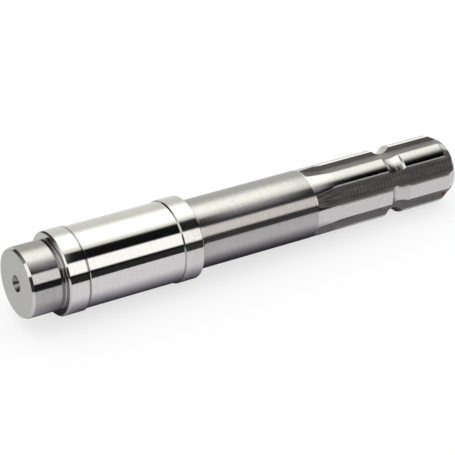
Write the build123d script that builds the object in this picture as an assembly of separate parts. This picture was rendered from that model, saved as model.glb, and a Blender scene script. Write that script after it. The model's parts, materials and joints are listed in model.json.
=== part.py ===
from build123d import *
import math
import os

# Splined stub shaft, turned from one bar of steel. Millimetres.
# The axis lies along +X from the journal's end face, which holds the origin, to the
# splined end. A spline slot faces straight down, so that the splines sit on two teeth.

# Journal, with the lead chamfer of its end face
journal_diameter = 35.0
journal_length = 18.0
journal_chamfer_length = 1.5
journal_chamfer_angle = 25.0

# Two ground seats, with the relieved middle between them
seat_diameter = 42.0
front_seat_length = 11.0
rear_seat_length = 10.0
middle_diameter = 40.6
middle_length = 52.0
seat_step_angle = 45.0
front_seat_chamfer = 0.8
rear_seat_chamfer = 0.4

# Relief grooves that let a ring seat flat against the two shoulders
relief_width = 2.5
relief_depth = 0.4
relief_run_out_angle = 15.0
relief_corner_radius = 0.6

# Plain shank
shank_diameter = 35.0
shank_length = 68.0

# Straight-sided splines, hobbed from the far end
spline_diameter = 34.8
spline_length = 86.0
spline_root_diameter = 28.9
tooth_count = 6
tooth_width = 8.69
tooth_tip_chamfer = 0.45
slot_corner_radius = 0.5
hob_radius = 45.0

# Ring groove across the teeth, for the coupling's lock
groove_centre_from_end = 35.5
groove_radius = 6.8
groove_root_diameter = 29.4

# Lead chamfer on the splined end
end_chamfer_length = 6.0
end_chamfer_angle = 30.0

# Centre holes that carry the bar between lathe centres, one in each end
centre_mouth_diameter = 8.5
centre_pilot_diameter = 4.0
centre_cone_angle = 60.0
centre_depth = 8.0
drill_point_angle = 118.0

# Stations along the axis, and radii
front_shoulder = journal_length
front_step = front_shoulder + front_seat_length
rear_step = front_step + middle_length
rear_shoulder = rear_step + rear_seat_length
spline_start = rear_shoulder + shank_length
total_length = spline_start + spline_length
journal_radius = journal_diameter / 2
seat_radius = seat_diameter / 2
middle_radius = middle_diameter / 2
shank_radius = shank_diameter / 2
spline_radius = spline_diameter / 2
root_radius = spline_root_diameter / 2


def slope(angle):
    """Rise of a line at this many degrees over a run of one."""
    return math.tan(math.radians(angle))


def centre_hole(face_x, inward):
    """Points of a centre hole's half section, from the drill's tip to the mouth."""
    pilot_radius = centre_pilot_diameter / 2
    mouth_radius = centre_mouth_diameter / 2
    cone_length = (mouth_radius - pilot_radius) / slope(centre_cone_angle / 2)
    tip_length = pilot_radius / slope(drill_point_angle / 2)
    return [
        (face_x + inward * (centre_depth + tip_length), 0),
        (face_x + inward * centre_depth, pilot_radius),
        (face_x + inward * cone_length, pilot_radius),
        (face_x, mouth_radius),
    ]


def relief(shoulder_x, radius, outward):
    """Points of a relief groove, from the plain diameter to where its corner arc starts."""
    start_x = shoulder_x + outward * relief_width
    floor_x = start_x - outward * relief_depth / slope(relief_run_out_angle)
    corner_x = shoulder_x + outward * relief_corner_radius
    floor_radius = radius - relief_depth
    return [(start_x, radius), (floor_x, floor_radius), (corner_x, floor_radius)]


def relief_corner(shoulder_x, radius):
    """Point where a relief groove's corner arc runs into the shoulder face."""
    return (shoulder_x, radius - relief_depth + relief_corner_radius)


def seats():
    """Points along the two seats and the middle, from the front shoulder to the rear one."""
    step_length = (seat_radius - middle_radius) / slope(seat_step_angle)
    return [
        relief_corner(front_shoulder, journal_radius),
        (front_shoulder, seat_radius - front_seat_chamfer),
        (front_shoulder + front_seat_chamfer, seat_radius),
        (front_step, seat_radius),
        (front_step + step_length, middle_radius),
        (rear_step - step_length, middle_radius),
        (rear_step, seat_radius),
        (rear_shoulder - rear_seat_chamfer, seat_radius),
        (rear_shoulder, seat_radius - rear_seat_chamfer),
        relief_corner(rear_shoulder, shank_radius),
    ]


def turned_blank():
    """The shaft as it leaves the lathe, before its splines are cut."""
    journal_chamfer = journal_chamfer_length * slope(journal_chamfer_angle)
    end_chamfer = end_chamfer_length * slope(end_chamfer_angle)
    groove_x = total_length - groove_centre_from_end
    groove_root = groove_root_diameter / 2
    groove_rise = groove_root + groove_radius - spline_radius
    groove_half_width = math.sqrt(groove_radius**2 - groove_rise**2)

    journal = centre_hole(0, 1) + [
        (0, journal_radius - journal_chamfer),
        (journal_chamfer_length, journal_radius),
        *relief(front_shoulder, journal_radius, -1),
    ]
    shank = list(reversed(relief(rear_shoulder, shank_radius, 1))) + [
        (spline_start, shank_radius),
        (spline_start, spline_radius),
        (groove_x - groove_half_width, spline_radius),
    ]
    splined_end = [
        (groove_x + groove_half_width, spline_radius),
        (total_length - end_chamfer_length, spline_radius),
        (total_length, spline_radius - end_chamfer),
        *reversed(centre_hole(total_length, -1)),
    ]
    with BuildPart() as blank:
        with BuildSketch(Plane.XZ):
            with BuildLine():
                Polyline(*journal)
                TangentArc(journal[-1], seats()[0], tangent=(1, 0))
                Polyline(*seats())
                TangentArc(shank[0], seats()[-1], tangent=(-1, 0))
                Polyline(*shank)
                ThreePointArc(shank[-1], (groove_x, groove_root), splined_end[0])
                Polyline(*splined_end, close=False)
                Line(splined_end[-1], journal[0])
            make_face()
        revolve(axis=Axis.X)
    return blank.part


def slot_section(station_x):
    """Section of the slot between two teeth, cut at this station, with the slot facing up."""
    half_pitch = math.radians(180 / tooth_count)
    half_tooth = tooth_width / 2
    root_height = math.sqrt(root_radius**2 - half_tooth**2)
    corner_height = math.sqrt(spline_radius**2 - half_tooth**2)
    above_teeth = spline_radius + groove_radius

    def beside_tooth(height, across, side):
        """Point given by its height up one tooth's centre line, and how far across it is."""
        slot_across = height * math.sin(half_pitch) - across * math.cos(half_pitch)
        slot_height = height * math.cos(half_pitch) + across * math.sin(half_pitch)
        return (side * slot_across, slot_height)

    def wall(side):
        """One side of the slot: its flank, the tooth's tip chamfer, and a clear way out."""
        chamfer_end = beside_tooth(
            corner_height + tooth_tip_chamfer, half_tooth - 2 * tooth_tip_chamfer, side
        )
        return [
            beside_tooth(root_height, half_tooth, side),
            beside_tooth(corner_height - tooth_tip_chamfer, half_tooth, side),
            chamfer_end,
            (chamfer_end[0], above_teeth),
        ]

    with BuildSketch(Plane.YZ.offset(station_x)) as section:
        with BuildLine():
            ThreePointArc(wall(-1)[0], (0, root_radius), wall(1)[0])
            Polyline(*wall(1), *reversed(wall(-1)))
        make_face()
        fillet(section.vertices().sort_by(Axis.Z)[:2], radius=slot_corner_radius)
    return section.sketch


def slot_cutter():
    """What the hob takes out for one slot: the straight run, and the run-out by the shank."""
    cut_depth = shank_radius - root_radius
    run_out_length = math.sqrt(hob_radius**2 - (hob_radius - cut_depth) ** 2)
    run_out_angle = math.degrees(math.asin(run_out_length / hob_radius))
    full_depth_x = spline_start + run_out_length
    section = slot_section(full_depth_x)
    hob_axis = Axis((full_depth_x, 0, root_radius + hob_radius), (0, 1, 0))
    straight = extrude(section, amount=total_length - full_depth_x + end_chamfer_length)
    run_out = revolve(section, axis=hob_axis, revolution_arc=1.5 * run_out_angle)
    return straight + run_out


def splined_shaft():
    """The finished shaft: the turned blank with a slot cut between each pair of teeth."""
    cutter = slot_cutter()
    slots = [Rot(X=number * 360 / tooth_count) * cutter for number in range(tooth_count)]
    return turned_blank() - slots


os.makedirs("parts", exist_ok=True)
export_step(splined_shaft(), "parts/splined_shaft.step")
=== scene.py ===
"""Splined stub shaft: ground seats, a turned journal and shank, and a hobbed spline.

The shaft lies along +X, from the journal's end face at the origin to the splined end.
Angles round it start at +Y and turn towards +Z. Lengths are in metres.
"""

from __future__ import annotations

import json
import logging
import math
from dataclasses import dataclass, field
from enum import Enum
from typing import Any

import bpy
from mathutils import Matrix, Vector

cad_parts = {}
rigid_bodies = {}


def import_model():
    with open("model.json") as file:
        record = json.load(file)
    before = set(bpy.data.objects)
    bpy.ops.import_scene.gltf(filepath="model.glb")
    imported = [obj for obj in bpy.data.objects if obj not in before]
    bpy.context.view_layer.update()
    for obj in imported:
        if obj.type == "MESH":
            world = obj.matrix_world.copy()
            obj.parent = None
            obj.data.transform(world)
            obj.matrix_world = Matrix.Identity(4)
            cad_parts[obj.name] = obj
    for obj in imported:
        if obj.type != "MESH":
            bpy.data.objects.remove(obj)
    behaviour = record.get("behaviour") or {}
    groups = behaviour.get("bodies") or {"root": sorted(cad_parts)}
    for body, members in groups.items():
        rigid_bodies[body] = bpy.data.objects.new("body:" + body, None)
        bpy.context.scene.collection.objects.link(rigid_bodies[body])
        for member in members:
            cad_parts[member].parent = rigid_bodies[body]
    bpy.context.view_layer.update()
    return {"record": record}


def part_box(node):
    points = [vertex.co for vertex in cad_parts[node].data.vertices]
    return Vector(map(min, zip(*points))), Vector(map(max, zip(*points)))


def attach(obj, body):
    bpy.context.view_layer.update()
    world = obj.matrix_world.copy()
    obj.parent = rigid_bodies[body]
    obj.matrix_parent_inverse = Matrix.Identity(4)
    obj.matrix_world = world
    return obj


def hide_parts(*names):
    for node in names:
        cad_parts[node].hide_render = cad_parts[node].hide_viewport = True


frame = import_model()

LOG = logging.getLogger("splined_shaft")
MM = 0.001
TOUCH = 1e-3 * MM
SHAFT_NODE = "splined_shaft"

# The slots' root and the hob's feed shape the metal, and the finish follows them.
ROOT_RADIUS = 14.45 * MM
HOB_FEED = 2.06 * MM

# The shaft rests on two teeth, and the view and the light are turned about it by these degrees.
SWING = -2.6

Triple = tuple[float, float, float]
Colour = tuple[float, float, float, float]


# ---------------- shader arithmetic ----------------


class Signal:
    """A shader socket that takes part in Python sums, each adding its Math node."""

    def __init__(self, recipe: Recipe, socket: bpy.types.NodeSocket) -> None:
        """Wraps an output socket of a recipe's node tree."""
        self.recipe = recipe
        self.socket = socket

    def math(self, operation: str, *others: Signal | float) -> Signal:
        """Adds a Math node with this value and the others as its operands."""
        operands = {number: value for number, value in enumerate((self, *others))}
        return self.recipe.node("ShaderNodeMath", {"operation": operation}, operands)

    def __add__(self, other: Signal | float) -> Signal:
        """This value plus another."""
        return self.math("ADD", other)

    def __radd__(self, other: float) -> Signal:
        """A number plus this value."""
        return self.math("ADD", other)

    def __sub__(self, other: Signal | float) -> Signal:
        """This value less another."""
        return self.math("SUBTRACT", other)

    def __rsub__(self, other: float) -> Signal:
        """A number less this value."""
        return self.recipe.node("ShaderNodeMath", {"operation": "SUBTRACT"}, {0: other, 1: self})

    def __mul__(self, other: Signal | float) -> Signal:
        """This value times another."""
        return self.math("MULTIPLY", other)

    def __rmul__(self, other: float) -> Signal:
        """A number times this value."""
        return self.math("MULTIPLY", other)

    def __truediv__(self, other: Signal | float) -> Signal:
        """This value over another."""
        return self.math("DIVIDE", other)

    def between(self, low: float, high: float) -> Signal:
        """A smooth step.

        Args:
            low: Where the step starts, at 0.
            high: Where the step ends, at 1.

        Returns:
            0 below low, 1 above high, and an S curve between.
        """
        settings = {"interpolation_type": "SMOOTHSTEP"}
        inputs = {"Value": self, "From Min": low, "From Max": high}
        return self.recipe.node("ShaderNodeMapRange", settings, inputs)


class Axis(Enum):
    """The directions along the shaft, across it and up, by their letters in Blender."""

    ALONG = "X"
    ACROSS = "Y"
    UP = "Z"


class Recipe:
    """The node tree of one material, built node by node."""

    def __init__(self, name: str) -> None:
        """Starts an empty material.

        Args:
            name: The material's name.
        """
        self.material = bpy.data.materials.new(name)
        self.material.use_nodes = True
        self.tree = self.material.node_tree
        self.tree.nodes.clear()
        self.output = self.tree.nodes.new("ShaderNodeOutputMaterial")

    def node(
        self,
        kind: str,
        settings: dict[str, Any] | None = None,
        inputs: dict[str | int, Any] | None = None,
        output: str | int = 0,
    ) -> Signal:
        """Adds a node.

        Args:
            kind: The node's type.
            settings: The node's own settings, made before its sockets are filled.
            inputs: Values or signals for its sockets, by name or number.
            output: The socket that is wanted, by name or number.

        Returns:
            The wanted output.
        """
        made = self.tree.nodes.new(kind)
        for name, value in (settings or {}).items():
            setattr(made, name, value)
        for key, value in (inputs or {}).items():
            if isinstance(value, Signal):
                self.tree.links.new(value.socket, made.inputs[key])
            else:
                made.inputs[key].default_value = value
        return Signal(self, made.outputs[output])

    def blend(self, factor: Signal, first: Signal | Colour, second: Signal | Colour) -> Signal:
        """Mixes two colours, from the first at 0 to the second at 1, by a Mix node's colour sockets."""
        settings = {"data_type": "RGBA", "blend_type": "MIX"}
        return self.node("ShaderNodeMix", settings, {0: factor, 6: first, 7: second}, 2)

    def position(self) -> Signal:
        """Where a point lies on its piece."""
        return self.node("ShaderNodeTexCoord", output="Object")

    def place(self, axis: Axis) -> Signal:
        """Where a point lies on its piece, along one axis."""
        return self.node("ShaderNodeSeparateXYZ", None, {0: self.position()}, axis.value)

    def cloud(self, size: float, squeeze: Triple = (1.0, 1.0, 1.0)) -> Signal:
        """Soft noise through the metal.

        Args:
            size: The size of its spots.
            squeeze: How many times the noise is squeezed along each axis.

        Returns:
            A value about 0.5.
        """
        inputs = {"Vector": self.position(), "Scale": squeeze}
        squeezed = self.node("ShaderNodeMapping", {"vector_type": "POINT"}, inputs)
        return Noise.CLOUDS.over(squeezed, size)

    def finish_with(self, shader: Signal) -> bpy.types.Material:
        """Joins a shader to the surface, and returns the finished material."""
        self.tree.links.new(shader.socket, self.output.inputs["Surface"])
        return self.material


class Noise(Enum):
    """The kinds of noise, each with its dimensions, its detail and its roughness."""

    MARKS = ("1D", 2.0, 0.6)
    STREAKS = ("2D", 2.0, 0.5)
    CLOUDS = ("3D", 3.0, 0.55)

    def over(self, place: Signal, size: float) -> Signal:
        """Spreads the noise over a surface.

        Args:
            place: What the noise changes with.
            size: The size of its spots.

        Returns:
            A value about 0.5.
        """
        dimensions, detail, roughness = self.value
        socket = "W" if dimensions == "1D" else "Vector"
        inputs = {socket: place, "Scale": 1 / size, "Detail": detail, "Roughness": roughness}
        return place.recipe.node("ShaderNodeTexNoise", {"noise_dimensions": dimensions}, inputs)


# ---------------- finishes ----------------


def opaque(tint: Triple, level: float = 1.0) -> Colour:
    """A tint at one level, with full alpha."""
    return (*(level * part for part in tint), 1.0)


WHITE = (1.0, 1.0, 1.0)
BLACK = opaque(WHITE, 0.0)


class Lay(Enum):
    """The way that one mark follows another."""

    ALONG_THE_SHAFT = "along"
    OUTWARD_ON_A_FACE = "outward"


@dataclass(frozen=True)
class Marks:
    """Fine marks at an uneven pitch."""

    pitch: float
    depth: float
    lay: Lay = Lay.ALONG_THE_SHAFT

    def normal(self, recipe: Recipe) -> Signal:
        """How the marks tilt the surface.

        Args:
            recipe: The node tree.

        Returns:
            The normal.
        """
        if self.lay is Lay.OUTWARD_ON_A_FACE:
            across, up = recipe.place(Axis.ACROSS), recipe.place(Axis.UP)
            run = (across * across + up * up).math("SQRT")
        else:
            run = recipe.place(Axis.ALONG)
        height = Noise.MARKS.over(run, self.pitch)
        inputs = {"Strength": 1.0, "Distance": self.depth, "Height": height}
        return recipe.node("ShaderNodeBump", None, inputs)


class Tool(Enum):
    """What has worked on the steel, by the marks that it leaves."""

    GRINDING_WHEEL = Marks(0.14 * MM, 0.4e-3 * MM)
    RUBBING_RING = Marks(0.14 * MM, 0.8e-3 * MM)
    TURNING_TOOL = Marks(0.30 * MM, 6e-3 * MM)
    FACING_TOOL = Marks(0.35 * MM, 4e-3 * MM, Lay.OUTWARD_ON_A_FACE)
    FORM_TOOL = Marks(0.14 * MM, 2e-3 * MM)
    HOB = Marks(0.50 * MM, 4e-3 * MM)


@dataclass(frozen=True)
class RustSpot:
    """A small dark red spot."""

    centre: Triple
    radius: float
    core: float
    colour: Colour

    def cover(self, recipe: Recipe) -> Signal:
        """How much of the steel the spot hides.

        Args:
            recipe: The node tree.

        Returns:
            1 in its core, 0 outside it, and a soft edge between.
        """
        ends = {0: recipe.position(), 1: self.centre}
        apart = recipe.node("ShaderNodeVectorMath", {"operation": "DISTANCE"}, ends, "Value")
        return 1 - apart.between(self.radius * self.core, self.radius)


RUST_SPOT = RustSpot((241 * MM, -10.8 * MM, -10.0 * MM), 1.9 * MM, 0.4, (0.20, 0.02, 0.02, 1.0))


@dataclass(frozen=True)
class MetalFinish:
    """Bare steel as one tool leaves it.

    Its tone varies in bands round the shaft and in broad patches, both by its mottle, and
    in specks by its grain. An oil film lies on it where its oil bends light.
    """

    name: str
    level: float
    smoothest: float
    roughest: float
    tool: Tool
    mottle: float
    grain: float
    edge_level: float = 1.0
    oil_ior: float = 1.0
    oil_roughness: float = 0.5
    dust: float = 0.0
    dust_roughness: float = 0.4
    tint: Triple = (1.0, 0.996, 0.98)
    band_pitches: float = 8.0
    band_squeeze: Triple = (1.0, 0.03, 0.03)
    patch_size: float = 12 * MM
    patch_squeeze: Triple = (1.0, 1.0, 1.0)
    speck_size: float = 0.8 * MM
    smear_size: float = 9 * MM
    smear_squeeze: Triple = (1.0, 0.6, 0.6)

    def patches(self, recipe: Recipe) -> Signal:
        """Broad patches of tone, about 0."""
        return recipe.cloud(self.patch_size, self.patch_squeeze) - 0.5

    def specks(self, recipe: Recipe) -> Signal:
        """Fine specks of tone, about 0."""
        return (recipe.cloud(self.speck_size) - 0.5) * self.grain

    def tone(self, recipe: Recipe) -> Signal:
        """How light the surface is, before its colour, as a factor about 1."""
        bands = recipe.cloud(self.band_pitches * self.tool.value.pitch, self.band_squeeze) - 0.5
        return 1 + (bands + self.patches(recipe)) * self.mottle + self.specks(recipe)

    def roughness(self, recipe: Recipe) -> Signal:
        """How rough the surface is, in smears."""
        smear = recipe.cloud(self.smear_size, self.smear_squeeze)
        return self.smoothest + smear * (self.roughest - self.smoothest)

    def toned(self, recipe: Recipe, tone: Signal, tint: Triple) -> Signal:
        """A tint at this finish's level, as light as the tone."""
        return recipe.blend(tone / 2, BLACK, opaque(tint, self.level * 2))

    def colour(self, recipe: Recipe, tone: Signal) -> Signal:
        """The base colour."""
        return self.toned(recipe, tone, self.tint)

    def film(self, tone: Signal) -> Signal | float:
        """The oil film's weight, the same whatever the tone."""
        return float(self.oil_ior > 1.0)

    def material(self) -> bpy.types.Material:
        """Builds the material.

        Returns:
            The material.
        """
        recipe = Recipe(self.name)
        tone = self.tone(recipe)
        inputs = {
            "Base Color": self.colour(recipe, tone),
            "Metallic": 1.0,
            "Roughness": self.roughness(recipe),
            "Specular Tint": opaque(WHITE, self.edge_level),
            "Normal": self.tool.value.normal(recipe),
            "Coat Weight": self.film(tone),
            "Coat IOR": self.oil_ior,
            "Coat Roughness": self.oil_roughness,
            "Sheen Weight": self.dust,
            "Sheen Roughness": self.dust_roughness,
        }
        return recipe.finish_with(recipe.node("ShaderNodeBsdfPrincipled", None, inputs))


@dataclass(frozen=True)
class StepShadeFinish(MetalFinish):
    """Ground steel with a painted shade line: a fine dark ring just before the front seat steps down."""

    step_shade_at: float = 28.6 * MM
    step_shade_reach: float = 0.95 * MM
    step_shade_depth: float = 0.72

    def tone(self, recipe: Recipe) -> Signal:
        """How light the surface is, darker in the painted shade ring.

        Args:
            recipe: The node tree.

        Returns:
            A factor about 1.
        """
        apart = (recipe.place(Axis.ALONG) - self.step_shade_at).math("ABSOLUTE")
        # The ring darkens the tone where the seat steps down: painted shade at the step.
        ring = 1 - apart.between(0.0, self.step_shade_reach)
        return super().tone(recipe) * (1 - ring * self.step_shade_depth)


@dataclass(frozen=True)
class SlotFinish(MetalFinish):
    """Dull oiled steel in a slot, lighter below than above, with one spot of rust."""

    oil_ior: float = 1.5
    tint: Triple = (1.0, 0.96, 0.94)
    lower_tint: Triple = (1.44, 1.36, 1.39)
    lower_tint_below: float = -12 * MM

    def colour(self, recipe: Recipe, tone: Signal) -> Signal:
        """The base colour.

        Args:
            recipe: The node tree.
            tone: How light the surface is, about 1.

        Returns:
            The colour.
        """
        upper_steel, lower_steel = (self.toned(recipe, tone, tint) for tint in (self.tint, self.lower_tint))
        # The steel's colour is lighter towards the bottom.
        height = recipe.place(Axis.UP).between(self.lower_tint_below, 0.0)
        steel = recipe.blend(height, lower_steel, upper_steel)
        return recipe.blend(RUST_SPOT.cover(recipe), steel, RUST_SPOT.colour)


@dataclass(frozen=True)
class HobbedFinish(SlotFinish):
    """A slot's floor, with a rib at each turn of the hob's feed, and streaks along it.

    The ribs fade in over a third of the run-out on each side of where it reaches full depth.
    """

    full_depth: float = 175.3 * MM
    run_out: float = 16.3 * MM
    rib_contrast: float = 0.31
    rib_wander: float = 5 * MM
    streak_contrast: float = 3.0
    streak_width: float = 1.1 * MM
    streak_squeeze: float = 0.08
    streaks_lost: float = 0.75
    patch_size: float = 4 * MM
    patch_squeeze: Triple = (0.5, 1.0, 1.0)
    top_light_from: float = 10 * MM
    top_light_to: float = 13 * MM
    top_light: float = 2.8
    film_share: float = 0.6

    def tone(self, recipe: Recipe) -> Signal:
        """Ribs where the slot has its full depth, streaks in its run-out, and painted light where the
        slot faces up.

        Args:
            recipe: The node tree.

        Returns:
            A factor about 1, and more where light is painted on the slot that faces up.
        """
        along, across, up = (recipe.place(axis) for axis in Axis)
        reach = self.run_out / 3
        deep = along.between(self.full_depth - reach, self.full_depth + reach)
        wave = (along * (math.tau / HOB_FEED)).math("SINE")
        ribs = wave * recipe.cloud(self.rib_wander) * self.rib_contrast
        round_it = up.math("ARCTAN2", across) * ROOT_RADIUS
        inputs = {"X": along * self.streak_squeeze, "Y": round_it}
        unrolled = recipe.node("ShaderNodeCombineXYZ", None, inputs)
        streaks = Noise.STREAKS.over(unrolled, self.streak_width) - 0.5
        shallow = (1 - deep * self.streaks_lost) * self.streak_contrast
        mottle = self.patches(recipe) * self.mottle
        # The floor of the slot that faces up is painted lighter, as painted light from above.
        light = 1 + up.between(self.top_light_from, self.top_light_to) * deep * self.top_light
        return (1 + ribs * deep + streaks * shallow + mottle + self.specks(recipe)) * light

    def film(self, tone: Signal) -> Signal | float:
        """The oil film's weight, so that ribs and streaks show in the oil as well."""
        return (tone * self.film_share).math("MAXIMUM", 0.0).math("MINIMUM", 1.0)


class Surface(Enum):
    """The finishes that the shaft wears, in the order of its material slots.

    Each has its name, its level, its roughness at its smoothest and its roughest, and its tool.
    """

    GROUND = StepShadeFinish(
        "ground_seat", 0.72, 0.05, 0.08, Tool.GRINDING_WHEEL, mottle=0.09, grain=0.20, oil_ior=1.2
    )
    WORN_SEAT = MetalFinish(
        "worn_rear_seat", 0.66, 0.07, 0.11, Tool.RUBBING_RING, mottle=0.20, grain=0.40, oil_ior=1.35
    )
    JOURNAL = MetalFinish(
        "turned_journal", 0.44, 0.08, 0.11, Tool.TURNING_TOOL, mottle=0.13, grain=0.30, edge_level=0.8
    )
    TURNED = MetalFinish(
        "satin_turned", 0.43, 0.10, 0.14, Tool.TURNING_TOOL, mottle=0.11, grain=0.36, edge_level=0.7,
        oil_ior=1.6, oil_roughness=0.36,
    )
    FACED = MetalFinish("faced_end", 0.44, 0.36, 0.46, Tool.FACING_TOOL, mottle=0.16, grain=0.35)
    RELIEVED = MetalFinish("turned_relief", 0.42, 0.12, 0.18, Tool.FORM_TOOL, mottle=0.04, grain=0.04)
    DRILLED = MetalFinish("drilled_centre", 0.26, 0.24, 0.32, Tool.FORM_TOOL, mottle=0.04, grain=0.04)
    CREST = MetalFinish("tooth_crest", 0.64, 0.08, 0.14, Tool.FORM_TOOL, mottle=0.06, grain=0.20)
    GROOVED = MetalFinish("ring_groove", 0.60, 0.18, 0.24, Tool.FORM_TOOL, mottle=0.04, grain=0.05)
    TIP = MetalFinish("tooth_edge", 0.80, 0.28, 0.36, Tool.FORM_TOOL, mottle=0.10, grain=0.05)
    FLANK = SlotFinish("slot_flank", 0.145, 0.55, 0.70, Tool.HOB, mottle=0.30, grain=0.50, dust=0.2)
    HOBBED = HobbedFinish("hobbed_slot", 0.115, 0.50, 0.65, Tool.HOB, mottle=0.25, grain=1.2, dust=0.3)


# ---------------- modelling by hand ----------------


def leave_nothing_selected() -> None:
    """Deselects every object, because an operator acts on all that is selected."""
    for item in bpy.context.view_layer.objects:
        item.select_set(False)


def work_on(item: bpy.types.Object) -> None:
    """Makes one object the only selected one, and the active one.

    Args:
        item: The object.
    """
    leave_nothing_selected()
    item.select_set(True)
    bpy.context.view_layer.objects.active = item


def extrude(step: Vector) -> None:
    """Extrudes what is selected by one step."""
    bpy.ops.mesh.extrude_region_move(TRANSFORM_OT_translate={"value": step})


class Wire:
    """A line drawn point by point with extrude, ready to be spun or filled."""

    def __init__(self, name: str, start: Vector) -> None:
        """Starts the wire.

        Args:
            name: The object's name.
            start: Its first point.
        """
        leave_nothing_selected()
        bpy.ops.mesh.primitive_plane_add(size=MM, location=(0, 0, 0))
        self.object = bpy.context.object
        self.object.name = name
        bpy.ops.object.mode_set(mode="EDIT")
        bpy.ops.mesh.select_all(action="SELECT")
        bpy.ops.mesh.merge(type="CENTER")
        bpy.ops.transform.translate(value=start)
        self.here = start.copy()

    def line(self, *points: Vector) -> None:
        """Draws straight lines on from where the wire ends.

        Args:
            points: Where each line ends.
        """
        for point in points:
            extrude(point - self.here)
            self.here = point.copy()

    def merge(self) -> None:
        """Selects all, and merges the points that touch."""
        bpy.ops.mesh.select_all(action="SELECT")
        bpy.ops.mesh.remove_doubles(threshold=TOUCH)

    def finish(self) -> bpy.types.Object:
        """Turns the faces outwards and leaves edit mode.

        Returns:
            The finished object.
        """
        bpy.ops.mesh.select_all(action="SELECT")
        bpy.ops.mesh.normals_make_consistent(inside=False)
        bpy.ops.object.mode_set(mode="OBJECT")
        return self.object


def arc(centre: Vector, start: Vector, turn: float, axis: Axis, steps: int) -> list[Vector]:
    """Points along an arc, after its start.

    Args:
        centre: The arc's centre.
        start: Its first point.
        turn: The angle that it turns through.
        axis: The axis that it turns about.
        steps: How many parts it has.

    Returns:
        Its points, from the second to the last.
    """
    spoke = start - centre
    return [
        centre + Matrix.Rotation(turn * number / steps, 3, axis.value) @ spoke
        for number in range(1, steps + 1)
    ]


# ---------------- the shaft ----------------


@dataclass
class ShaftSizes:
    """The shaft's sizes. The overall length and the fitted radii come from the frame."""

    length: float
    journal_radius: float
    seat_radius: float
    journal_length: float = 18.0 * MM
    journal_chamfer: tuple[float, float] = (1.5 * MM, 0.7 * MM)
    front_seat_length: float = 11.0 * MM
    middle_length: float = 52.0 * MM
    rear_seat_length: float = 10.0 * MM
    seat_step: float = 0.7 * MM
    front_seat_chamfer: float = 0.8 * MM
    rear_seat_chamfer: float = 0.4 * MM
    relief_width: float = 2.5 * MM
    relief_depth: float = 0.4 * MM
    relief_run_out: float = math.radians(15)
    relief_corner: float = 0.6 * MM
    shank_length: float = 68.0 * MM
    spline_radius: float = 17.4 * MM
    tooth_count: int = 6
    tooth_width: float = 8.69 * MM
    tip_chamfer: float = 0.45 * MM
    slot_corner: float = 0.5 * MM
    hob_radius: float = 45.0 * MM
    hob_cusp: float = 0.03 * MM
    groove_from_end: float = 35.5 * MM
    groove_radius: float = 6.8 * MM
    groove_root_radius: float = 14.7 * MM
    end_chamfer: tuple[float, float] = (6.0 * MM, 6.0 * MM * math.tan(math.radians(30)))
    centre_mouth_radius: float = 4.25 * MM
    centre_pilot_radius: float = 2.0 * MM
    centre_depth: float = 8.0 * MM
    centre_half_angle: float = math.radians(30)
    drill_half_angle: float = math.radians(59)
    edge_break: float = 0.12 * MM
    shank_step: float = 0.25 * MM
    step_run_out: float = 1.4 * MM

    @classmethod
    def from_frame(cls, node: str, mounts: list[dict[str, Any]]) -> ShaftSizes:
        """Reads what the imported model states.

        Args:
            node: The shaft's node.
            mounts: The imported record's mounts.

        Returns:
            The sizes.
        """
        stated = {mount["name"]: mount["dims"] for mount in mounts}
        return cls(
            length=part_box(node)[1].x,
            journal_radius=stated["journal"]["r_mm"] * MM,
            seat_radius=stated["front_seat"]["r_mm"] * MM,
        )

    @property
    def shank_radius(self) -> float:
        """The shank is turned to the journal's diameter."""
        return self.journal_radius

    @property
    def front_step(self) -> float:
        """Where the front seat steps down to the middle."""
        return self.journal_length + self.front_seat_length

    @property
    def rear_step(self) -> float:
        """Where the middle steps up to the rear seat."""
        return self.front_step + self.middle_length

    @property
    def rear_shoulder(self) -> float:
        """Where the rear seat drops to the shank."""
        return self.rear_step + self.rear_seat_length

    @property
    def spline_start(self) -> float:
        """Where the shank ends and the teeth begin."""
        return self.rear_shoulder + self.shank_length

    @property
    def run_out(self) -> float:
        """How far the hob's way out of the slot reaches along the shaft."""
        depth = self.shank_radius - ROOT_RADIUS
        return math.sqrt(self.hob_radius**2 - (self.hob_radius - depth) ** 2)

    @property
    def full_depth(self) -> float:
        """Where the slots reach their full depth."""
        return self.spline_start + self.run_out

    def rest(self) -> tuple[Vector, float]:
        """Finds how the shaft lies, on its rear seat and on two teeth.

        Returns:
            The seat's lowest point, and the angle that the floor rises towards the splines.
        """
        half_gap = math.pi / self.tooth_count
        half_tooth = math.asin((self.tooth_width / 2 - self.tip_chamfer) / self.spline_radius)
        drop = self.spline_radius * math.cos(half_gap - half_tooth)
        seat = Vector((self.rear_shoulder - self.rear_seat_chamfer, 0, -self.seat_radius))
        teeth = Vector((self.length - self.end_chamfer[0], 0, -drop))
        return seat, math.atan2(teeth.z - seat.z, teeth.x - seat.x)


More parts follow.
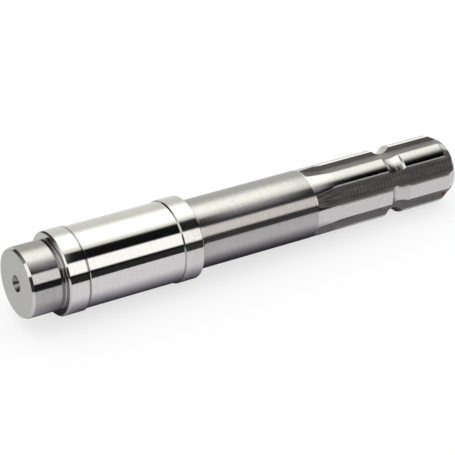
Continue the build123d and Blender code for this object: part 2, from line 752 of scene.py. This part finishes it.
@dataclass
class TurnedBlank:
    """The shaft as it leaves the lathe.

    A holding point stands hold_widths edge breaks from each broken edge, wherever the line
    there is more than hold_room times as long as that.
    """

    sizes: ShaftSizes
    hold_widths: float = 2.5
    hold_room: float = 3.0
    facets: int = 288
    corner_steps: int = 8
    groove_steps: int = 24
    break_steps: int = 3
    edges: list[Vector] = field(default_factory=list)

    def at(self, along: float, radius: float) -> Vector:
        """A point of the half section, by its place along the shaft and from the axis."""
        return Vector((along, 0, radius))

    def edge(self, along: float, radius: float) -> Vector:
        """A point of the half section whose edge is broken."""
        self.edges.append(self.at(along, radius))
        return self.edges[-1]

    def is_edge(self, point: Vector) -> bool:
        """Whether a point makes an edge that is broken."""
        return any((point - edge).length < TOUCH for edge in self.edges)

    def centre_hole(self, face: float, inward: float) -> list[Vector]:
        """The half section of a centre hole, from the drill's tip to the mouth.

        Args:
            face: Where the end face is.
            inward: 1 or -1, the way into the metal.

        Returns:
            Its points.
        """
        s = self.sizes
        cone = (s.centre_mouth_radius - s.centre_pilot_radius) / math.tan(s.centre_half_angle)
        tip = s.centre_pilot_radius / math.tan(s.drill_half_angle)
        return [
            self.at(face + inward * (s.centre_depth + tip), 0),
            self.at(face + inward * s.centre_depth, s.centre_pilot_radius),
            self.at(face + inward * cone, s.centre_pilot_radius),
            self.edge(face, s.centre_mouth_radius),
        ]

    def relief(self, shoulder: float, radius: float, outward: float) -> list[Vector]:
        """A relief groove, from the plain diameter to the shoulder face.

        Args:
            shoulder: Where the shoulder face is.
            radius: The plain radius beside it.
            outward: 1 or -1, the way from the shoulder out over the groove.

        Returns:
            Its points.
        """
        s = self.sizes
        start = shoulder + outward * s.relief_width
        floor = start - outward * s.relief_depth / math.tan(s.relief_run_out)
        corner = self.at(shoulder + outward * s.relief_corner, radius - s.relief_depth)
        centre = corner + Vector((0, 0, s.relief_corner))
        return [
            self.edge(start, radius),
            self.at(floor, radius - s.relief_depth),
            corner,
            *arc(centre, corner, outward * math.pi / 2, Axis.ACROSS, self.corner_steps),
        ]

    def seats(self) -> list[Vector]:
        """The two seats with the middle between them.

        Returns:
            Their points.
        """
        s = self.sizes
        front, rear = s.journal_length, s.rear_shoulder
        seat, middle = s.seat_radius, s.seat_radius - s.seat_step
        return [
            self.edge(front, seat - s.front_seat_chamfer),
            self.edge(front + s.front_seat_chamfer, seat),
            self.edge(s.front_step, seat),
            self.at(s.front_step + s.seat_step, middle),
            self.at(s.rear_step - s.seat_step, middle),
            self.edge(s.rear_step, seat),
            self.edge(rear - s.rear_seat_chamfer, seat),
            self.edge(rear, seat - s.rear_seat_chamfer),
        ]

    def ring_groove(self) -> list[Vector]:
        """The lock's ring groove.

        Returns:
            Its points.
        """
        s = self.sizes
        centre = self.at(s.length - s.groove_from_end, s.groove_root_radius + s.groove_radius)
        half = math.acos((centre.z - s.spline_radius) / s.groove_radius)
        lowest = centre - Vector((0, 0, s.groove_radius))
        start = arc(centre, lowest, half, Axis.ACROSS, 1)[0]
        points = [start, *arc(centre, start, -2 * half, Axis.ACROSS, self.groove_steps)]
        self.edges += (points[0], points[-1])
        return points

    def half_section(self) -> list[Vector]:
        """The whole half section, from one centre hole's tip to the other's.

        Returns:
            Its points.
        """
        s = self.sizes
        lead, drop = s.journal_chamfer
        end_lead, end_drop = s.end_chamfer
        return [
            *self.centre_hole(0, 1),
            self.edge(0, s.journal_radius - drop),
            self.edge(lead, s.journal_radius),
            *self.relief(s.journal_length, s.journal_radius, -1),
            *self.seats(),
            *reversed(self.relief(s.rear_shoulder, s.shank_radius, 1)),
            self.at(s.spline_start - s.shank_step, s.shank_radius),
            self.at(s.spline_start, s.shank_radius - s.shank_step),
            self.at(s.spline_start + s.step_run_out, s.spline_radius),
            *self.ring_groove(),
            self.edge(s.length - end_lead, s.spline_radius),
            self.edge(s.length, s.spline_radius - end_drop),
            *reversed(self.centre_hole(s.length, -1)),
        ]

    def held(self, points: list[Vector]) -> list[Vector]:
        """Adds a point on each side of every broken edge, so that shading stays close to it.

        Args:
            points: The half section.

        Returns:
            The half section with its holding points.
        """
        reach = self.hold_widths * self.sizes.edge_break
        result = [points[0]]
        for previous, point in zip(points, points[1:]):
            run = point - previous
            step = run.normalized() * reach
            roomy = run.length > self.hold_room * reach
            if roomy and self.is_edge(previous):
                result.append(previous + step)
            if roomy and self.is_edge(point):
                result.append(point - step)
            result.append(point)
        return result

    def break_edges(self, wire: Wire) -> None:
        """Rounds the wire's corners that are edges of the shaft.

        Args:
            wire: The wire, in edit mode.
        """
        bpy.ops.mesh.select_all(action="DESELECT")
        bpy.ops.object.mode_set(mode="OBJECT")
        for vertex in wire.object.data.vertices:
            vertex.select = self.is_edge(vertex.co)
        bpy.ops.object.mode_set(mode="EDIT")
        width = self.sizes.edge_break
        bpy.ops.mesh.bevel(offset=width, segments=self.break_steps, affect="VERTICES")

    def build(self) -> bpy.types.Object:
        """Draws the half section and spins it round the axis.

        Returns:
            The blank.
        """
        points = self.held(self.half_section())
        wire = Wire("turned_blank", points[0])
        wire.line(*points[1:])
        self.break_edges(wire)
        bpy.ops.mesh.select_all(action="SELECT")
        bpy.ops.mesh.spin(steps=self.facets, angle=math.tau, center=(0, 0, 0), axis=(1, 0, 0))
        wire.merge()
        return wire.finish()


@dataclass
class SlotHob:
    """What the hob takes out between two teeth, with the cusps that its feed leaves."""

    sizes: ShaftSizes
    floor_steps: int = 12
    corner_steps: int = 8
    run_out_steps: int = 28
    overswing: float = 1.5

    def wall(self, side: float) -> list[Vector]:
        """One side of the slot: its flank, the tooth's tip chamfer, and a clear way out.

        Args:
            side: 1 or -1, which side of the slot.

        Returns:
            Its points from the root outwards, with the slot facing up.
        """
        s = self.sizes
        half_pitch = math.pi / s.tooth_count
        half_tooth = s.tooth_width / 2
        root = math.sqrt(ROOT_RADIUS**2 - half_tooth**2)
        corner = math.sqrt(s.spline_radius**2 - half_tooth**2)
        heights = (root, corner - s.tip_chamfer, corner + s.tip_chamfer)
        acrosses = (half_tooth, half_tooth, half_tooth - 2 * s.tip_chamfer)
        points = [
            Vector((
                0,
                side * (h * math.sin(half_pitch) - a * math.cos(half_pitch)),
                h * math.cos(half_pitch) + a * math.sin(half_pitch),
            ))
            for h, a in zip(heights, acrosses)
        ]
        above = s.spline_radius + s.groove_radius
        return [*points, Vector((0, points[-1].y, above))]

    def section(self) -> list[Vector]:
        """The slot's section, facing up, with its root corners rounded.

        Returns:
            Its points, in a loop.
        """
        s = self.sizes
        right, left = self.wall(1), self.wall(-1)
        flank = (right[1] - right[0]).normalized()
        tangent = Vector((0, right[0].z, -right[0].y)).normalized()
        bend = flank.angle(tangent)
        reach = s.slot_corner * math.tan(bend / 2)
        on_floor = right[0] - tangent * reach
        on_flank = right[0] + flank * reach
        centre = on_flank + Vector((0, -flank.z, flank.y)) * s.slot_corner
        spread = (on_flank - centre).angle(on_floor - centre)
        fillet = [on_floor, *arc(centre, on_floor, spread, Axis.ALONG, self.corner_steps)]
        mirrored = [Vector((0, -point.y, point.z)) for point in fillet]
        sweep = 2 * math.atan2(mirrored[0].y, mirrored[0].z)
        floor = arc(Vector(), mirrored[0], sweep, Axis.ALONG, self.floor_steps)[:-1]
        return [*reversed(mirrored), *floor, *fillet, *right[1:], *reversed(left[1:])]

    def turn(self, angle: float, centre: Vector) -> None:
        """Lifts what is selected by an angle towards the shank, about the hob's centre."""
        # With no window the operator turns the other way, so the angle's sign is turned too.
        bpy.ops.transform.rotate(value=-angle, orient_axis="Y", center_override=centre)

    def feed(self, run: float) -> None:
        """Extrudes the section along the slot, with a cusp at each turn of the feed.

        Args:
            run: How far it goes.
        """
        low, high = self.sizes.hob_cusp / 4, 3 * self.sizes.hob_cusp / 4
        for _ in range(math.ceil(run / HOB_FEED)):
            for rise in (low, high, -high, -low):
                extrude(Vector((HOB_FEED / 4, 0, rise)))

    def build(self) -> bpy.types.Object:
        """Draws the section, sweeps it down the run-out and feeds it along the slot.

        Returns:
            The cutter of the slot that faces up.
        """
        s = self.sizes
        hob_centre = Vector((s.full_depth, 0, ROOT_RADIUS + s.hob_radius))
        swing = self.overswing * math.asin(s.run_out / s.hob_radius)
        points = [point + Vector((s.full_depth, 0, 0)) for point in self.section()]
        wire = Wire("slot_hob", points[0])
        wire.line(*points[1:], points[0])
        wire.merge()
        bpy.ops.mesh.edge_face_add()
        bpy.ops.mesh.select_all(action="SELECT")
        self.turn(swing, hob_centre)
        for _ in range(self.run_out_steps):
            extrude(Vector())
            self.turn(-swing / self.run_out_steps, hob_centre)
        self.feed(s.length - s.full_depth + 2 * HOB_FEED)
        return wire.finish()


@dataclass
class SplinedShaft:
    """The finished shaft: the turned blank with its slots cut, dressed zone by zone.

    A face is steep or square by how far its normal leans along the shaft.
    """

    sizes: ShaftSizes
    steep: float = 0.6
    square: float = 0.9
    clearance: float = 0.01 * MM
    smooth_below: float = math.radians(12)

    def in_relief(self, along: float, radius: float) -> bool:
        """Whether a face is in one of the relief grooves.

        Args:
            along: Where its centre is along the shaft.
            radius: How far its centre is from the axis.

        Returns:
            True inside a groove.
        """
        s = self.sizes
        from_shoulders = (s.journal_length - along, along - s.rear_shoulder)
        beside = any(0 < distance < s.relief_width for distance in from_shoulders)
        return beside and radius < s.journal_radius - self.clearance

    def surface_at(self, centre: Vector, normal: Vector) -> Surface:
        """The finish of one face of the blank.

        Args:
            centre: The face's centre.
            normal: Its normal.

        Returns:
            The finish.
        """
        s = self.sizes
        along, radius = centre.x, math.hypot(centre.y, centre.z)
        steep = abs(normal.x) > self.steep
        if radius < s.centre_mouth_radius:
            return Surface.DRILLED
        if self.in_relief(along, radius):
            return Surface.RELIEVED
        if steep and s.front_step - s.seat_step < along < s.rear_step + s.seat_step:
            return Surface.GROUND if normal.x > 0 else Surface.RELIEVED
        if steep and s.journal_length - s.relief_corner < along < s.rear_shoulder + s.relief_corner:
            return Surface.RELIEVED if normal.x < -self.square else Surface.CREST
        if abs(normal.x) > self.square:
            return Surface.FACED
        if along < s.journal_chamfer[0] or along > s.length - s.end_chamfer[0]:
            return Surface.CREST
        if s.journal_length < along < s.rear_shoulder and radius > s.journal_radius:
            return Surface.WORN_SEAT if along > s.rear_step else Surface.GROUND
        if along > s.spline_start:
            return Surface.CREST if radius > s.spline_radius - s.tip_chamfer / 2 else Surface.GROOVED
        return Surface.JOURNAL if along < s.journal_length else Surface.TURNED

    def surface_left(self, centre: Vector, normal: Vector) -> Surface:
        """The finish that one face of the cutter leaves behind.

        Args:
            centre: The face's centre, with the slot facing up.
            normal: Its normal.

        Returns:
            The finish.
        """
        s = self.sizes
        # In the run-out, the whole section is lifted along the hob's arc.
        back = max(0.0, s.full_depth - centre.x)
        lift = s.hob_radius - math.sqrt(max(0.0, s.hob_radius**2 - back**2))
        flank_top = SlotHob(s).wall(1)[1].z + s.tip_chamfer / 10
        if centre.z - lift > flank_top:
            return Surface.TIP
        return Surface.FLANK if abs(normal.y) > self.steep else Surface.HOBBED

    def dress(self, blank: bpy.types.Object, hob: bpy.types.Object) -> None:
        """Gives each face of the blank and of the cutter its finish.

        Args:
            blank: The turned blank.
            hob: The cutter of the slot that faces up.
        """
        order = list(Surface)
        materials = [surface.value.material() for surface in order]
        for piece, finish_of in ((blank, self.surface_at), (hob, self.surface_left)):
            for material in materials:
                piece.data.materials.append(material)
            for polygon in piece.data.polygons:
                surface = finish_of(polygon.center, polygon.normal)
                polygon.material_index = order.index(surface)

    def cut(self, blank: bpy.types.Object, hob: bpy.types.Object) -> None:
        """Cuts all the slots with turned copies of one cutter.

        Args:
            blank: The turned blank.
            hob: The cutter of the slot that faces up.
        """
        count = self.sizes.tooth_count
        copies = []
        for number in range(count):
            copy = hob.copy()
            copy.data = hob.data.copy()
            copy.data.transform(Matrix.Rotation(math.tau * number / count, 4, "X"))
            bpy.context.scene.collection.objects.link(copy)
            copies.append(copy)
        work_on(copies[0])
        for copy in copies:
            copy.select_set(True)
        bpy.ops.object.join()
        cutter = bpy.context.object
        work_on(blank)
        slots = blank.modifiers.new("slots", "BOOLEAN")
        slots.operation = "DIFFERENCE"
        slots.solver = "EXACT"
        slots.material_mode = "INDEX"
        slots.object = cutter
        bpy.ops.object.modifier_apply(modifier=slots.name)
        bpy.data.objects.remove(cutter)
        bpy.data.objects.remove(hob)

    def build(self) -> bpy.types.Object:
        """Makes the shaft.

        Returns:
            The finished piece.
        """
        blank = TurnedBlank(self.sizes).build()
        hob = SlotHob(self.sizes).build()
        self.dress(blank, hob)
        self.cut(blank, hob)
        work_on(blank)
        bpy.ops.object.shade_smooth_by_angle(angle=self.smooth_below)
        blank.name = "splined_shaft_machined"
        return blank


# ---------------- what the shaft mirrors ----------------


@dataclass(frozen=True)
class Edge:
    """A soft edge of a lit patch, in degrees round the shaft or in metres along it.

    Its place and softness may drift with the other of the two, counted from a pivot.
    """

    at: float
    softness: float
    drift: float = 0.0
    spread: float = 0.0
    pivot: float = 0.18

    def passed(self, value: Signal, other: Signal) -> Signal:
        """Tells which side of the edge a point is on.

        Args:
            value: The point's angle or distance, whichever the edge is on.
            other: The one of the two that the edge is not on.

        Returns:
            0 before the edge and 1 after it.
        """
        if not self.drift and not self.spread:
            return value.between(self.at - self.softness / 2, self.at + self.softness / 2)
        past = other - self.pivot
        middle = past * self.drift + self.at
        width = past * self.spread + self.softness
        return ((value - middle) / width).between(-0.5, 0.5)


class Cloth(Enum):
    """The tints of the tent's cloth."""

    OVERHEAD = (1.0, 1.0, 0.93)
    VEIL = (1.0, 0.97, 1.01)
    FRONT = (1.0, 0.975, 0.95)
    FAR_FRONT = (1.0, 0.935, 0.90)
    FAR_MOUTH = (1.0, 0.84, 0.76)


@dataclass(frozen=True)
class Patch:
    """A lit patch of the tent: cloth between two edges round the shaft and two along it."""

    start: Edge
    end: Edge
    near: Edge
    far: Edge
    light: float
    cloth: Cloth

    def strength(self, angle: Signal, along: Signal) -> Signal:
        """How strongly a point of the tent shines.

        Args:
            angle: Its angle round the shaft, in degrees.
            along: Its distance along the tent.

        Returns:
            The strength.
        """
        round_it = self.start.passed(angle, along) * (1 - self.end.passed(angle, along))
        along_it = self.near.passed(along, angle) * (1 - self.far.passed(along, angle))
        return round_it * along_it * self.light


# Edges along the tent that patches share, named for what the shaft mirrors there.
NEAR_MOUTH = Edge(-1.3, 0.1)
END_FACE = Edge(-0.005, 0.02)
END_FACE_RIM = Edge(-0.005, 0.04)
FRONT_SHOULDER = Edge(0.116, 0.002)
REAR_SHOULDER = Edge(0.2075, 0.004)
FAR_SLOPE = Edge(0.92, 0.18, drift=-0.0054, pivot=0.0)

# Edges round the tent that patches share.
BACK_HEM = Edge(-80.0, 30.0)
BACK = Edge(-30.0, 4.0)
TOP = Edge(95.0, 4.0)
JOURNAL_FADE = Edge(104.0, 36.0)
FRONT = Edge(140.0, 4.0)


class Panel(Enum):
    """The tent's lit patches, from the roof down to the front, and then its two mouths.

    Each has its start and end round the tent, its near and far end, its light and its cloth.
    """

    ROOF = Patch(
        BACK_HEM, Edge(108.8, 8.0, drift=-28.0, spread=40.0), FRONT_SHOULDER, FAR_SLOPE,
        0.78, Cloth.OVERHEAD,
    )
    RIDGE = Patch(Edge(56.0, 30.0), Edge(100.0, 28.0), END_FACE, FAR_SLOPE, 0.57, Cloth.OVERHEAD)
    NEAR_RIDGE = Patch(
        Edge(57.0, 38.0), Edge(97.0, 26.0), END_FACE, Edge(0.285, 0.03), 0.62, Cloth.OVERHEAD
    )
    JOURNAL_ROOF = Patch(BACK_HEM, JOURNAL_FADE, END_FACE, FRONT_SHOULDER, 0.78, Cloth.OVERHEAD)
    JOURNAL_VEIL = Patch(
        JOURNAL_FADE, Edge(122.0, 40.0, drift=450.0, pivot=0.105), END_FACE, FRONT_SHOULDER,
        0.78, Cloth.VEIL,
    )
    SHANK_VEIL = Patch(
        Edge(106.0, 12.0), Edge(121.0, 26.0), Edge(0.2225, 0.006), Edge(0.276, 0.016), 0.56, Cloth.VEIL
    )
    FRONT_STRIP = Patch(
        Edge(136.9, 5.0), Edge(166.9, 4.5), END_FACE, REAR_SHOULDER, 1.34, Cloth.FRONT
    )
    FAR_STRIP = Patch(
        Edge(137.5, 6.0), Edge(166.3, 5.0), REAR_SHOULDER, Edge(0.56, 0.7), 1.22, Cloth.FAR_FRONT
    )
    NEAR_LAMP = Patch(TOP, FRONT, NEAR_MOUTH, END_FACE_RIM, 1.38, Cloth.FRONT)
    NEAR_FRONT = Patch(FRONT, Edge(200.0, 4.0), NEAR_MOUTH, END_FACE_RIM, 0.045, Cloth.FRONT)
    LEAD_GLOW = Patch(Edge(66.0, 50.0), TOP, Edge(-0.15, 0.04), END_FACE, 0.25, Cloth.FRONT)
    NEAR_BACK = Patch(BACK, TOP, NEAR_MOUTH, END_FACE, 0.05, Cloth.FRONT)
    NEAR_ROOF = Patch(Edge(62.0, 50.0), TOP, NEAR_MOUTH, Edge(-0.16, 0.10), 1.1, Cloth.OVERHEAD)
    FAR_MOUTH = Patch(
        BACK, Edge(55.0, 40.0), Edge(0.65, 0.4), Edge(4.4, 0.1), 0.14, Cloth.FAR_MOUTH
    )


def hide_from_all_but_gloss(item: bpy.types.Object) -> None:
    """Leaves a stage piece in the shaft's reflections alone."""
    for sight in ("visible_camera", "visible_diffuse", "visible_shadow"):
        setattr(item, sight, False)


@dataclass
class LightTent:
    """A tunnel of lit cloth and black flags round the shaft, seen by its gloss alone."""

    radius: float = 0.25
    start: float = -1.5
    end: float = 4.5
    facets: int = 180

    def glow(self) -> bpy.types.Material:
        """Adds up the panels.

        Returns:
            The tent's material.
        """
        recipe = Recipe("light_tent")
        along, across, up = (recipe.place(axis) for axis in Axis)
        angle = up.math("ARCTAN2", across) * math.degrees(1) - SWING
        shader: Signal | None = None
        for panel in Panel:
            patch = panel.value
            inputs = {"Color": opaque(patch.cloth.value), "Strength": patch.strength(angle, along)}
            light = recipe.node("ShaderNodeEmission", None, inputs)
            shader = recipe.node("ShaderNodeAddShader", None, {0: shader, 1: light}) if shader else light
        return recipe.finish_with(shader)

    def build(self) -> None:
        """Makes the tent round the shaft's axis."""
        leave_nothing_selected()
        middle = ((self.start + self.end) / 2, 0, 0)
        bpy.ops.mesh.primitive_cylinder_add(
            vertices=self.facets, radius=self.radius, depth=self.end - self.start,
            end_fill_type="NOTHING", location=middle, rotation=(0, math.pi / 2, 0),
        )
        tent = bpy.context.object
        bpy.ops.object.transform_apply(location=True, rotation=True, scale=True)
        tent.name = "light_tent"
        tent.data.materials.append(self.glow())
        hide_from_all_but_gloss(tent)


# ---------------- studio ----------------


def sheet(
    name: str, centre: Vector, turn: Triple, size: tuple[float, float], material: bpy.types.Material
) -> bpy.types.Object:
    """Makes a flat sheet of the stage.

    Args:
        name: The sheet's name.
        centre: Its middle.
        turn: The angles that turn it from lying flat.
        size: Its length and width.
        material: Its material.

    Returns:
        The sheet.
    """
    leave_nothing_selected()
    bpy.ops.mesh.primitive_plane_add(size=1, location=centre, rotation=turn)
    made = bpy.context.object
    made.scale = (*size, 1)
    bpy.ops.object.transform_apply(location=True, rotation=True, scale=True)
    made.name = name
    made.data.materials.append(material)
    return made


@dataclass
class Floor:
    """A pale floor that keeps the shaft's shadow, and looks and mirrors nearly white."""

    sizes: ShaftSizes
    size: float = 12.0
    level: float = 0.97
    glow: float = 0.68

    def paper(self) -> bpy.types.Material:
        """Mixes lit paper with an even white that eyes and gloss see.

        Returns:
            The material.
        """
        recipe = Recipe("pale_floor")
        paper = recipe.node("ShaderNodeBsdfDiffuse", None, {"Color": opaque(WHITE, self.level)})
        white = recipe.node("ShaderNodeEmission", None, {"Strength": 1.0})
        rays = ("Is Camera Ray", "Is Glossy Ray", "Is Transmission Ray")
        seen, mirrored, through = (recipe.node("ShaderNodeLightPath", output=ray) for ray in rays)
        share = (seen + mirrored + through).math("MINIMUM", 1.0) * self.glow
        inputs = {0: share, 1: paper, 2: white}
        return recipe.finish_with(recipe.node("ShaderNodeMixShader", None, inputs))

    def build(self) -> None:
        """Lays the floor under the resting shaft."""
        seat, rise = self.sizes.rest()
        size = (self.size, self.size)
        floor = sheet("floor", seat, (0, -rise, 0), size, self.paper())


@dataclass
class GreyMats:
    """A grey mat on each side of the shaft, darker towards it by a painted shadow, seen by its gloss
    alone.

    A broad painted shadow and a darker painted core run under the shaft, and the mats' outer rim
    is dark beside the journal and the seats.
    """

    sizes: ShaftSizes
    reach: float = 0.18
    length: float = 1.2
    lead: float = 0.3
    lift: float = 0.4 * MM
    darkest: float = 0.04
    lightest: float = 0.84
    tint: Triple = (1.0, 0.957, 0.982)
    shade_tint: Triple = (0.97, 0.89, 1.06)
    broad_fade: tuple[float, float] = (9 * MM, 37 * MM)
    broad_starts: tuple[float, float] = (-12 * MM, 33 * MM)
    broad_narrows: tuple[float, float] = (165 * MM, 195 * MM)
    narrowing: float = 0.6
    core_fade: tuple[float, float] = (3 * MM, 11 * MM)
    core_starts: tuple[float, float] = (-2 * MM, 10 * MM)
    end_blur: float = 10 * MM
    rim_fade: float = 0.8
    rim_from: float = 0.15
    rim_ends: tuple[float, float] = (0.085, 0.125)

    def painted_shadow_glow(self) -> bpy.types.Material:
        """Paints the shaft's shadow on the mats, by the distance from the shaft and along it.

        Returns:
            The material.
        """
        recipe = Recipe("mat_with_painted_shadow")
        along = recipe.place(Axis.ALONG)
        aside = recipe.place(Axis.ACROSS).math("ABSOLUTE")
        narrow = 1 + along.between(*self.broad_narrows) * self.narrowing
        # The broad shade and the core are the shaft's shadow, painted into the mats' glow.
        broad = (1 - (aside * narrow).between(*self.broad_fade)) * along.between(*self.broad_starts)
        core = (1 - aside.between(*self.core_fade)) * along.between(*self.core_starts)
        end = self.sizes.length
        under = 1 - along.between(end - self.end_blur, end + self.end_blur)
        shade = (broad + core - broad * core) * under
        rim = aside.between(self.rim_from, self.reach) * self.rim_fade
        rim = rim * (1 - along.between(*self.rim_ends))
        strength = (self.lightest - shade * (self.lightest - self.darkest)) * (1 - rim)
        tint = recipe.blend(shade, opaque(self.tint), opaque(self.shade_tint))
        inputs = {"Color": tint, "Strength": strength}
        return recipe.finish_with(recipe.node("ShaderNodeEmission", None, inputs))

    def build(self) -> None:
        """Lays the near mat, which starts before the shaft does, and the far one."""
        seat, rise = self.sizes.rest()
        painted_shadow_glow = self.painted_shadow_glow()
        for side, start, name in ((-1, -self.lead, "near_mat"), (1, 0.0, "far_mat")):
            slide = Vector((math.cos(rise), 0, math.sin(rise)))
            slide *= (start + self.length) / 2 - seat.x
            beside = Vector((0, side * self.reach / 2, self.lift))
            size = (self.length - start, self.reach)
            mat = sheet(name, seat + slide + beside, (0, -rise, 0), size, painted_shadow_glow)
            hide_from_all_but_gloss(mat)


@dataclass
class FrontFlag:
    """A low black flag in front of the shaft, past the near mat, seen by its gloss alone."""

    length: float = 1.2
    distance: float = 0.19
    height: float = 0.03
    level: float = 0.02

    def build(self) -> None:
        """Stands the flag with as much of it below the shaft's axis as above."""
        recipe = Recipe("black_flag")
        inputs = {"Color": opaque(WHITE, self.level)}
        cloth = recipe.finish_with(recipe.node("ShaderNodeBsdfDiffuse", None, inputs))
        place = Vector((self.length / 2, -self.distance, 0))
        size = (self.length, 2 * self.height)
        flag = sheet("front_flag", place, (math.pi / 2, 0, 0), size, cloth)
        hide_from_all_but_gloss(flag)


@dataclass
class WhiteRoom:
    """Even white light from all round."""

    strength: float = 1.0

    def build(self) -> None:
        """Sets up the world."""
        world = bpy.data.worlds.new("white_room")
        world.use_nodes = True
        background = world.node_tree.nodes["Background"]
        background.inputs["Color"].default_value = opaque(WHITE)
        background.inputs["Strength"].default_value = self.strength
        bpy.context.scene.world = world


@dataclass
class SoftLamp:
    """A broad soft lamp overhead, which the shaft doesn't mirror."""

    sizes: ShaftSizes
    power: float = 3.0
    height: float = 1.6
    size: float = 1.4

    def build(self) -> None:
        """Hangs the lamp over the middle of the shaft."""
        lamp = bpy.data.lights.new("overhead", "AREA")
        lamp.size = self.size
        lamp.energy = self.power
        holder = bpy.data.objects.new("overhead", lamp)
        holder.location = (self.sizes.length / 2, 0, self.height)
        holder.visible_glossy = False
        bpy.context.scene.collection.objects.link(holder)


@dataclass
class StudioCamera:
    """The camera, placed by its bearing and height as seen from the shaft."""

    aim: Triple = (120.0 * MM, 0.0, 0.0)
    bearing: float = math.radians(31.194)
    elevation: float = math.radians(27.603)
    right_up_back: Triple = (-3.15 * MM, -2.33 * MM, 1094.6 * MM)
    nearest: float = 10 * MM
    sensor: float = 36.0
    lens: float = 174.75

    def build(self) -> None:
        """Makes the camera and puts it to use."""
        aimed = Matrix.Translation(self.aim) @ Matrix.Rotation(-self.bearing, 4, "Z")
        aimed @= Matrix.Rotation(math.pi / 2 - self.elevation, 4, "X")
        aimed @= Matrix.Translation(self.right_up_back)
        data = bpy.data.cameras.new("camera")
        data.sensor_width = self.sensor
        data.lens = self.lens
        data.clip_start = self.nearest
        camera = bpy.data.objects.new("camera", data)
        bpy.context.scene.collection.objects.link(camera)
        camera.matrix_world = Matrix.Rotation(math.radians(SWING), 4, "X") @ aimed
        bpy.context.scene.camera = camera


# ---------------- putting it together ----------------


def main() -> None:
    """Builds the shaft, and then the studio round it."""
    logging.basicConfig(level=logging.INFO)
    bpy.context.scene.view_settings.view_transform = "Standard"
    sizes = ShaftSizes.from_frame(SHAFT_NODE, frame["record"]["mounts"])
    shaft = SplinedShaft(sizes).build()
    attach(shaft, "root")
    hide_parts(SHAFT_NODE)
    LOG.info("%s: %d faces", shaft.name, len(shaft.data.polygons))
    studio = (
        Floor(sizes), GreyMats(sizes), FrontFlag(), WhiteRoom(), SoftLamp(sizes), LightTent(),
        StudioCamera(),
    )
    for item in studio:
        item.build()
        LOG.info("%s is in place", type(item).__name__)


if __name__ == "__main__":
    main()
